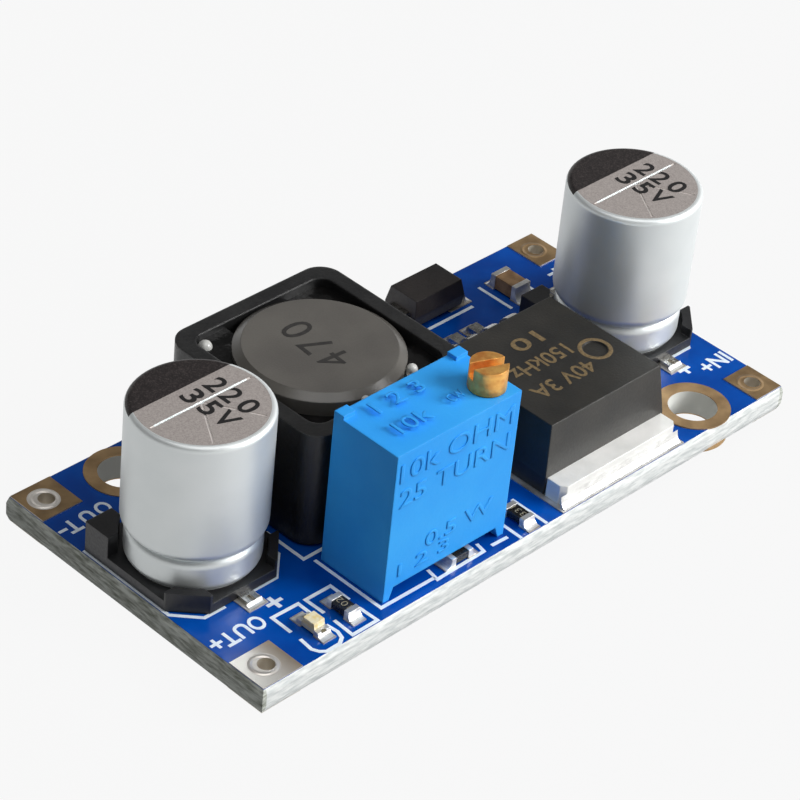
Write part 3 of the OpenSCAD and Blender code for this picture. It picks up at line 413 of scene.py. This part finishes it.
# The two electrolytic capacitors: drawn aluminium cans with a rolled groove over the rubber, a
# scored vent on top, a grey printed top with the black field of the minus side, on black bases.
can_metal = Finish("can_metal", (232, 236, 236), (224, 229, 229), 0.4, 0.46, metal=0.55, cloud=220,
                   grain=9000, depth=2e-6)
can_low, can_high = [Vector(c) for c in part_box("output_capacitor_can")]
can_mid = (can_low + can_high) / 2
can_x, can_y, can_z = can_metal.axes()
off_x = can_metal.calc("SUBTRACT", can_metal.calc("ABSOLUTE", can_x), -can_mid.x)
off_y = can_metal.calc("SUBTRACT", can_y, can_mid.y)
far = can_metal.radius(off_x, off_y)
print_radius, field_radius, field_start = 3.74 * mm, 4.04 * mm, 1.57 * mm
score_reach, score_half = 3.3 * mm, 0.075 * mm
on_top = can_metal.calc("GREATER_THAN", can_z, can_high.z - 0.1 * mm)
printed = can_metal.both(on_top, can_metal.calc("LESS_THAN", far, print_radius))
score = can_metal.calc("LESS_THAN", can_metal.calc("ABSOLUTE", off_y), score_half)
score = can_metal.both(score, can_metal.calc("LESS_THAN", far, score_reach))
printed = can_metal.both(printed, can_metal.calc("SUBTRACT", 1.0, score))
speck = can_metal.add("ShaderNodeTexNoise")
speck.inputs["Scale"].default_value = 12000
speck.inputs["Detail"].default_value = 3
can_metal.wire(can_metal.place.outputs["Object"], speck.inputs["Vector"])
can_metal.over(printed, can_metal.mixed(speck.outputs["Fac"], (122, 113, 110), (200, 192, 187)))
# The print in the sunken vent grooves is painted lighter to cancel their shade: painted light.
groove_painted_light = can_metal.both(on_top, can_metal.calc("LESS_THAN", can_z, can_high.z - 0.02 * mm))
can_metal.over(can_metal.both(groove_painted_light, printed), (226, 220, 216))
minus_field = can_metal.both(can_metal.calc("GREATER_THAN", can_z, can_high.z - 0.25 * mm),
                             can_metal.calc("GREATER_THAN", off_y, field_start))
minus_field = can_metal.both(minus_field, can_metal.calc("LESS_THAN", far, field_radius))
dust = can_metal.add("ShaderNodeMapRange")
span(dust, 0.46, 0.74)
can_metal.wire(speck.outputs["Fac"], dust.inputs["Value"])
can_metal.over(minus_field, can_metal.mixed(dust.outputs["Result"], (26, 20, 20), (74, 66, 65)))
inked = can_metal.calc("MAXIMUM", printed, minus_field)
can_metal.vary("Metallic", inked, 0.1)
can_metal.vary("Roughness", inked, 0.42)
dress(can_metal, "output_capacitor_can", "input_capacitor_can")

base_plastic = Finish("base_plastic", (34, 34, 36), (22, 22, 24), 0.35, 0.55, cloud=500,
                      grain=6000, depth=6e-6, edge=0.00008)
dress(base_plastic, "output_capacitor_base", "input_capacitor_base")
tinned_lead = Finish("tinned_lead", (222, 222, 218), (184, 182, 176), 0.18, 0.34, metal=1.0,
                     cloud=1200, grain=4000, depth=1e-5)
dress(tinned_lead, "output_capacitor_leads", "input_capacitor_leads")

rating_ink = Finish("rating_ink", (22, 19, 20), (12, 11, 12), 0.4, 0.6, cloud=3000, grain=20000,
                    depth=2e-6)
for can in ("output", "input"):
    low, high = [Vector(c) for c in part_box(can + "_capacitor_can")]
    middle = (low + high) / 2
    rating = []
    letter_tall, print_thick = 1.36 * mm, 0.012 * mm
    for letter, x, y, wide in (("2", 1.67, 0.66, 0.88), ("2", 1.67, -0.55, 0.88),
                               ("0", 1.72, -1.82, 0.92), ("3", 0.0, 0.68, 0.88),
                               ("5", 0.02, -0.66, 0.88), ("V", 0.06, -1.92, 1.16)):
        rating.append(lettering(letter, letter_tall, wide * mm,
                                (middle.x + x * mm, middle.y + y * mm, high.z),
                                (0, -1, 0), (1, 0, 0), print_thick, weight=0.016))
    rating = joined(can + "_capacitor_rating", rating)
    dress(rating_ink, rating)
    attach(rating, "module")


# The shielded power choke: a ferrite drum wound with enamelled wire, set in a square ferrite
# shield with black resin in the corners, drops of clear glue and two tinned straps below.
shield_ferrite = Finish("shield_ferrite", (34, 34, 34), (20, 20, 21), 0.3, 0.5, cloud=420,
                        grain=5200, depth=1.4e-5, edge=0.00016)
dress(shield_ferrite, "inductor_shield")
drum_ferrite = Finish("drum_ferrite", (94, 91, 86), (84, 81, 77), 0.5, 0.66, cloud=300,
                      grain=9000, depth=6e-6, edge=0.0001)
level_face = drum_ferrite.calc("GREATER_THAN", drum_ferrite.axes("Normal")[2], 0.96)
polished = drum_ferrite.calc("SUBTRACT", 1.0, level_face)
drum_ferrite.vary("Roughness", polished, 0.2)
dress(drum_ferrite, "inductor_core")
enamel_wire = Finish("enamel_wire", (140, 72, 34), (96, 44, 20), 0.18, 0.3, metal=0.7, cloud=800,
                     grain=6000, depth=3e-6)
dress(enamel_wire, "inductor_winding")
corner_resin = Finish("corner_resin", (22, 21, 21), (12, 12, 12), 0.1, 0.24, cloud=700, grain=1100,
                      depth=9e-5)
dress(corner_resin, "inductor_filler")
clear_glue = Finish("clear_glue", (236, 236, 232), (214, 214, 210), 0.06, 0.2, cloud=2000,
                    grain=3000, depth=3e-5)
clear_glue.shader.inputs["Transmission Weight"].default_value = 0.35
clear_glue.shader.inputs["IOR"].default_value = 1.45
dress(clear_glue, "inductor_adhesive")
choke_base = Finish("choke_base", (46, 46, 48), (32, 32, 34), 0.5, 0.7, cloud=500, grain=6000,
                    depth=8e-6)
dress(choke_base, "inductor_base")
dress(tinned_lead, "inductor_terminals")
drum_low, drum_high = [Vector(c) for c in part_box("inductor_core")]
drum_mid = (drum_low + drum_high) / 2
digit_tall, digit_wide, digit_thick = 1.95 * mm, 1.2 * mm, 0.012 * mm
value_marks = []
for digit, x, y in (("4", -0.33, -1.52), ("7", -0.2, 0.18), ("0", -0.02, 1.88)):
    value_marks.append(lettering(digit, digit_tall, digit_wide,
                                 (drum_mid.x + x * mm, drum_mid.y + y * mm, drum_high.z),
                                 (0.08, 1, 0), (-1, 0.08, 0), digit_thick))
choke_value = joined("inductor_value", value_marks)
choke_ink = Finish("choke_ink", (48, 46, 44), (38, 36, 35), 0.45, 0.65, cloud=2500, grain=15000,
                   depth=2e-6)
dress(choke_ink, choke_value)
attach(choke_value, "module")


# The switching regulator in its flat power package: matt black moulded epoxy on a tinned copper
# tab, five formed leads at the back and gold-brown laser marks with a plain ring on top.
black_epoxy = Finish("black_epoxy", (44, 42, 38), (32, 31, 29), 0.4, 0.52, cloud=380, grain=6500,
                     depth=1e-5, edge=0.00012)
dress(black_epoxy, "regulator_body")
tab_tin = Finish("tab_tin", (252, 251, 247), (238, 238, 234), 0.35, 0.5, metal=0.25, cloud=500,
                 grain=2500, depth=1.6e-5, edge=0.00008)
dress(tab_tin, "regulator_tab")
dress(tinned_lead, "regulator_leads")
reg_high = Vector(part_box("regulator_body")[1])
laser_tall, laser_thick = 1.15 * mm, 0.01 * mm
ring_radius, ring_half, ring_flat = 0.92 * mm, 0.13 * mm, 0.1
laser_marks = []
for words, left, right, y in (("40V 3A", 3.6, 8.5, -5.5), ("150kHz", 3.9, 8.5, -3.5),
                              ("10", 5.9, 8.1, -1.6)):
    laser_marks.append(lettering(words, laser_tall, (right - left) * mm,
                                 ((left + right) / 2 * mm, y * mm, reg_high.z),
                                 (-1, 0, 0), (0, -1, 0), laser_thick, weight=0.014))
bpy.ops.object.select_all(action="DESELECT")
bpy.ops.mesh.primitive_torus_add(major_radius=ring_radius, minor_radius=ring_half,
                                 major_segments=40, minor_segments=8,
                                 location=(9.7 * mm, -4.6 * mm, reg_high.z))
mark_ring = bpy.context.object
mark_ring.scale = (1, 1, ring_flat)
bpy.ops.object.transform_apply(location=True, rotation=True, scale=True)
regulator_marks = joined("regulator_marks", laser_marks + [mark_ring])
laser_brown = Finish("laser_brown", (126, 106, 72), (100, 84, 58), 0.55, 0.75, cloud=6000,
                     grain=18000, depth=4e-6)
dress(laser_brown, regulator_marks)
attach(regulator_marks, "module")


# The rectifier diode: a low black moulded body with soft edges, held by two tinned terminals
# that wrap round its ends.
diode_epoxy = Finish("diode_epoxy", (46, 40, 38), (32, 28, 27), 0.34, 0.52, cloud=500, grain=6500,
                     depth=9e-6, edge=0.0001)
dress(diode_epoxy, "diode_body")
dress(tinned_lead, "diode_terminals")


# The small chips of ceramic and resistive paste: feedback resistor and capacitor, bypass
# capacitor, and the lamp's series resistor, each with bright tinned end caps.
chip_black = Finish("chip_black", (40, 38, 36), (26, 25, 24), 0.2, 0.34, cloud=1500, grain=9000,
                    depth=5e-6, edge=0.00005)
# The feedback capacitor's ceramic body gets the resistors' black: painted shade, as it sits under
# the trimmer.
dress(chip_black, "led_resistor_body", "feedback_resistor_body", "feedback_capacitor_body")
chip_ceramic = Finish("chip_ceramic", (164, 130, 92), (132, 100, 66), 0.3, 0.5, cloud=1500,
                      grain=9000, depth=6e-6, edge=0.00005)
dress(chip_ceramic, "bypass_capacitor_body")
chip_tin = Finish("chip_tin", (238, 238, 236), (210, 208, 204), 0.3, 0.45, metal=0.7, cloud=1600,
                  grain=5200, depth=1.4e-5, edge=0.00005)
dress(chip_tin, "led_resistor_caps", "feedback_resistor_caps", "feedback_capacitor_caps",
      "bypass_capacitor_caps")
code_tall, code_wide, code_thick = 0.42 * mm, 0.95 * mm, 0.008 * mm
code_parts = []
for node, words in (("led_resistor_body", "102"), ("feedback_resistor_body", "331")):
    low, high = [Vector(c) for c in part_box(node)]
    code_parts.append(lettering(words, code_tall, code_wide,
                                ((low.x + high.x) / 2, (low.y + high.y) / 2, high.z),
                                (0, 1, 0), (-1, 0, 0), code_thick, weight=-0.01))
chip_codes = joined("resistor_codes", code_parts)
code_ink = Finish("code_ink", (156, 150, 128), (126, 120, 100), 0.45, 0.6, cloud=3000, grain=16000,
                  depth=2e-6)
dress(code_ink, chip_codes)
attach(chip_codes, "module")


# The indicator lamp: a white chip carrier with a tiny emitter under a block of clear, slightly
# yellow resin.
lamp_white = Finish("lamp_white", (226, 222, 204), (206, 200, 176), 0.35, 0.5, cloud=1500,
                    grain=8000, depth=4e-6)
dress(lamp_white, "led_base")
lamp_resin = Finish("lamp_resin", (255, 248, 224), (250, 226, 160), 0.1, 0.24, cloud=2600,
                    grain=5000, depth=3e-6, edge=0.00006)
lamp_resin.shader.inputs["Transmission Weight"].default_value = 0.15
lamp_resin.shader.inputs["IOR"].default_value = 1.5
dress(lamp_resin, "led_lens")
dress(chip_tin, "led_terminals")


# The multi-turn trimmer: an azure thermoplastic housing with raised generic marks, closed by a
# cover; the brass lead screw turns a toothed wheel, whose spring wiper runs on the film track.
azure_plastic = Finish("azure_plastic", (58, 172, 252), (50, 162, 248), 0.4, 0.5, cloud=240,
                       grain=5200, depth=6e-6, edge=0.00012)
azure_plastic.shader.inputs["Specular IOR Level"].default_value = 0.2
dress(azure_plastic, "trimmer_housing", "trimmer_cover")
brass = Finish("brass", (252, 196, 108), (222, 146, 72), 0.34, 0.5, metal=0.75, cloud=1500,
               grain=5200, depth=1.6e-5, edge=0.00006)
dress(brass, "trimmer_screw")
seal_rubber = Finish("seal_rubber", (60, 36, 30), (44, 26, 22), 0.5, 0.7, cloud=2000, grain=7000,
                     depth=6e-6)
dress(seal_rubber, "trimmer_seal")
rotor_plastic = Finish("rotor_plastic", (228, 226, 214), (208, 204, 188), 0.36, 0.5, cloud=900,
                       grain=6000, depth=6e-6)
dress(rotor_plastic, "trimmer_rotor")
spring_metal = Finish("spring_metal", (222, 198, 150), (196, 168, 118), 0.2, 0.34, metal=1.0,
                      cloud=1800, grain=7000, depth=4e-6)
dress(spring_metal, "trimmer_wiper")
alumina = Finish("alumina", (234, 232, 224), (218, 214, 204), 0.55, 0.75, cloud=900, grain=6500,
                 depth=6e-6)
dress(alumina, "trimmer_element")
film = Finish("film", (44, 42, 42), (30, 29, 29), 0.3, 0.45, cloud=1500, grain=9000, depth=4e-6)
dress(film, "trimmer_track")
dress(tinned_lead, "trimmer_pins")
house_low, house_high = [Vector(c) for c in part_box("trimmer_housing")]
side_proud, top_proud, root, softened = 0.05 * mm, 0.045 * mm, 0.02 * mm, 0.006
raised = []
for words, tall, left, right, z in (("10k OHM", 1.25, 0.35, 9.1, 10.3),
                                    ("25 TURN", 1.2, 0.5, 9.0, 8.5),
                                    ("0.5 W", 1.0, 2.95, 8.2, 4.5),
                                    ("1 2 3", 0.85, 0.95, 4.9, 3.4)):
    raised.append(lettering(words, tall * mm, (right - left) * mm,
                            (house_low.x + (left + right) / 2 * mm, house_low.y, z * mm),
                            (1, 0, 0), (0, 0, 1), side_proud, sunk=root, round_off=softened))
for words, tall, left, right, y in (("1 2 3", 1.05, 1.7, 5.4, 3.64), ("10k", 1.05, 1.4, 3.9, 1.6),
                                    ("CW", 0.7, 5.5, 6.6, 1.7)):
    raised.append(lettering(words, tall * mm, (right - left) * mm,
                            (house_low.x + (left + right) / 2 * mm, house_low.y + y * mm,
                             house_high.z),
                            (1, 0, 0), (0, 1, 0), top_proud, sunk=root, round_off=softened))
trimmer_marks = joined("trimmer_marks", raised)
dress(azure_plastic, trimmer_marks)
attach(trimmer_marks, "module")


# Solder: bright tin alloy wetted up the sides of the leads, tabs and pins, drawn into hollow
# fillets with a slightly wrinkled skin where it froze last.
solder = Finish("solder", (246, 246, 243), (224, 223, 220), 0.28, 0.42, metal=0.6, cloud=900,
                grain=1800, depth=3e-5)
dress(solder, "solder_capacitors", "solder_inductor", "solder_regulator", "solder_diode",
      "solder_chips", "solder_trimmer")


# The studio: a sheet under the module that looks white but throws little light back, one broad
# soft lamp low at the front right, a weaker one overhead, and surroundings dimmer overhead.
floor_z = cad_box[0][2]
floor_glow, room_light = 0.92, 0.13
bpy.ops.object.select_all(action="DESELECT")
bpy.ops.mesh.primitive_plane_add(size=4, location=(0, 0, floor_z))
floor = bpy.context.object
floor.name = "studio_floor"
bpy.ops.object.transform_apply(location=True, rotation=True, scale=True)
floor_paper = bpy.data.materials.new("floor_paper")
floor_paper.use_nodes = True
paper = floor_paper.node_tree
matt = paper.nodes["Principled BSDF"]
matt.inputs["Base Color"].default_value = (0.2, 0.205, 0.21, 1)
matt.inputs["Roughness"].default_value = 0.9
matt.inputs["Specular IOR Level"].default_value = 0.1
lit, blend, ray = (paper.nodes.new(kind) for kind in
                   ("ShaderNodeEmission", "ShaderNodeMixShader", "ShaderNodeLightPath"))
lit.inputs["Color"].default_value = (1, 1, 1, 1)
seen, seen_all, share = (paper.nodes.new("ShaderNodeMath") for step in range(3))
seen.operation = seen_all.operation = "MAXIMUM"
share.operation = "MULTIPLY"
share.inputs[1].default_value = floor_glow
paper.links.new(ray.outputs["Is Camera Ray"], seen.inputs[0])
paper.links.new(ray.outputs["Is Glossy Ray"], seen.inputs[1])
paper.links.new(seen.outputs[0], seen_all.inputs[0])
paper.links.new(ray.outputs["Is Transmission Ray"], seen_all.inputs[1])
paper.links.new(seen_all.outputs[0], share.inputs[0])
paper.links.new(share.outputs[0], blend.inputs[0])
paper.links.new(matt.outputs[0], blend.inputs[1])
paper.links.new(lit.outputs[0], blend.inputs[2])
paper.links.new(blend.outputs[0], paper.nodes["Material Output"].inputs["Surface"])
floor.data.materials.append(floor_paper)

world = bpy.data.worlds.new("studio_air")
bpy.context.scene.world = world
world.use_nodes = True
air = world.node_tree
sky = air.nodes["Background"]
sky.inputs["Color"].default_value = (1, 1, 1, 1)
path, where, height = (air.nodes.new(kind) for kind in
                       ("ShaderNodeLightPath", "ShaderNodeTexCoord", "ShaderNodeSeparateXYZ"))
shine, even, direct, power = (air.nodes.new(kind) for kind in
                              ("ShaderNodeMapRange", "ShaderNodeMath", "ShaderNodeMix",
                               "ShaderNodeMix"))
air.links.new(where.outputs["Generated"], height.inputs[0])
air.links.new(height.outputs["Z"], shine.inputs["Value"])
span(shine, 0.1, 0.5, 1.0, 0.1)
even.operation = "MAXIMUM"
air.links.new(path.outputs["Is Camera Ray"], even.inputs[0])
air.links.new(path.outputs["Is Transmission Ray"], even.inputs[1])
air.links.new(path.outputs["Is Glossy Ray"], direct.inputs["Factor"])
direct.inputs["A"].default_value = room_light
air.links.new(shine.outputs["Result"], direct.inputs["B"])
air.links.new(even.outputs[0], power.inputs["Factor"])
air.links.new(direct.outputs["Result"], power.inputs["A"])
power.inputs["B"].default_value = 1.0
air.links.new(power.outputs["Result"], sky.inputs["Strength"])

for name, place, size, watts in (("front_lamp", (0.25, -0.29, 0.22), 0.26, 2.35),
                                 ("top_lamp", (-0.03, -0.06, 0.4), 0.3, 0.5)):
    aim = (Vector((0, 0, 0.004)) - Vector(place)).to_track_quat("-Z", "Y").to_euler()
    bpy.ops.object.light_add(type="AREA", location=place, rotation=aim)
    lamp = bpy.context.object
    lamp.name = name
    lamp.data.size = size
    lamp.data.energy = watts


# The camera: a long lens close to the module, looking down on its output end over the trimmer.
swing, lift, roll = (math.radians(a) for a in (-48.606, 36.495, 6.0705))
back = Vector((math.sin(swing) * math.cos(lift), -math.cos(swing) * math.cos(lift), math.sin(lift)))
level = Vector((0, 0, 1)).cross(back).normalized()
above = back.cross(level)
right = math.cos(roll) * level + math.sin(roll) * above
above = back.cross(right)
aim = Matrix((right, above, back)).transposed().to_euler()
bpy.ops.object.camera_add(location=(-0.112292, -0.097477, 0.114246), rotation=aim)
camera = bpy.context.object
camera.data.lens = 144.61
camera.data.sensor_width = 36
camera.data.clip_start = 0.01
bpy.context.scene.camera = camera
bpy.context.scene.view_settings.view_transform = "Standard"
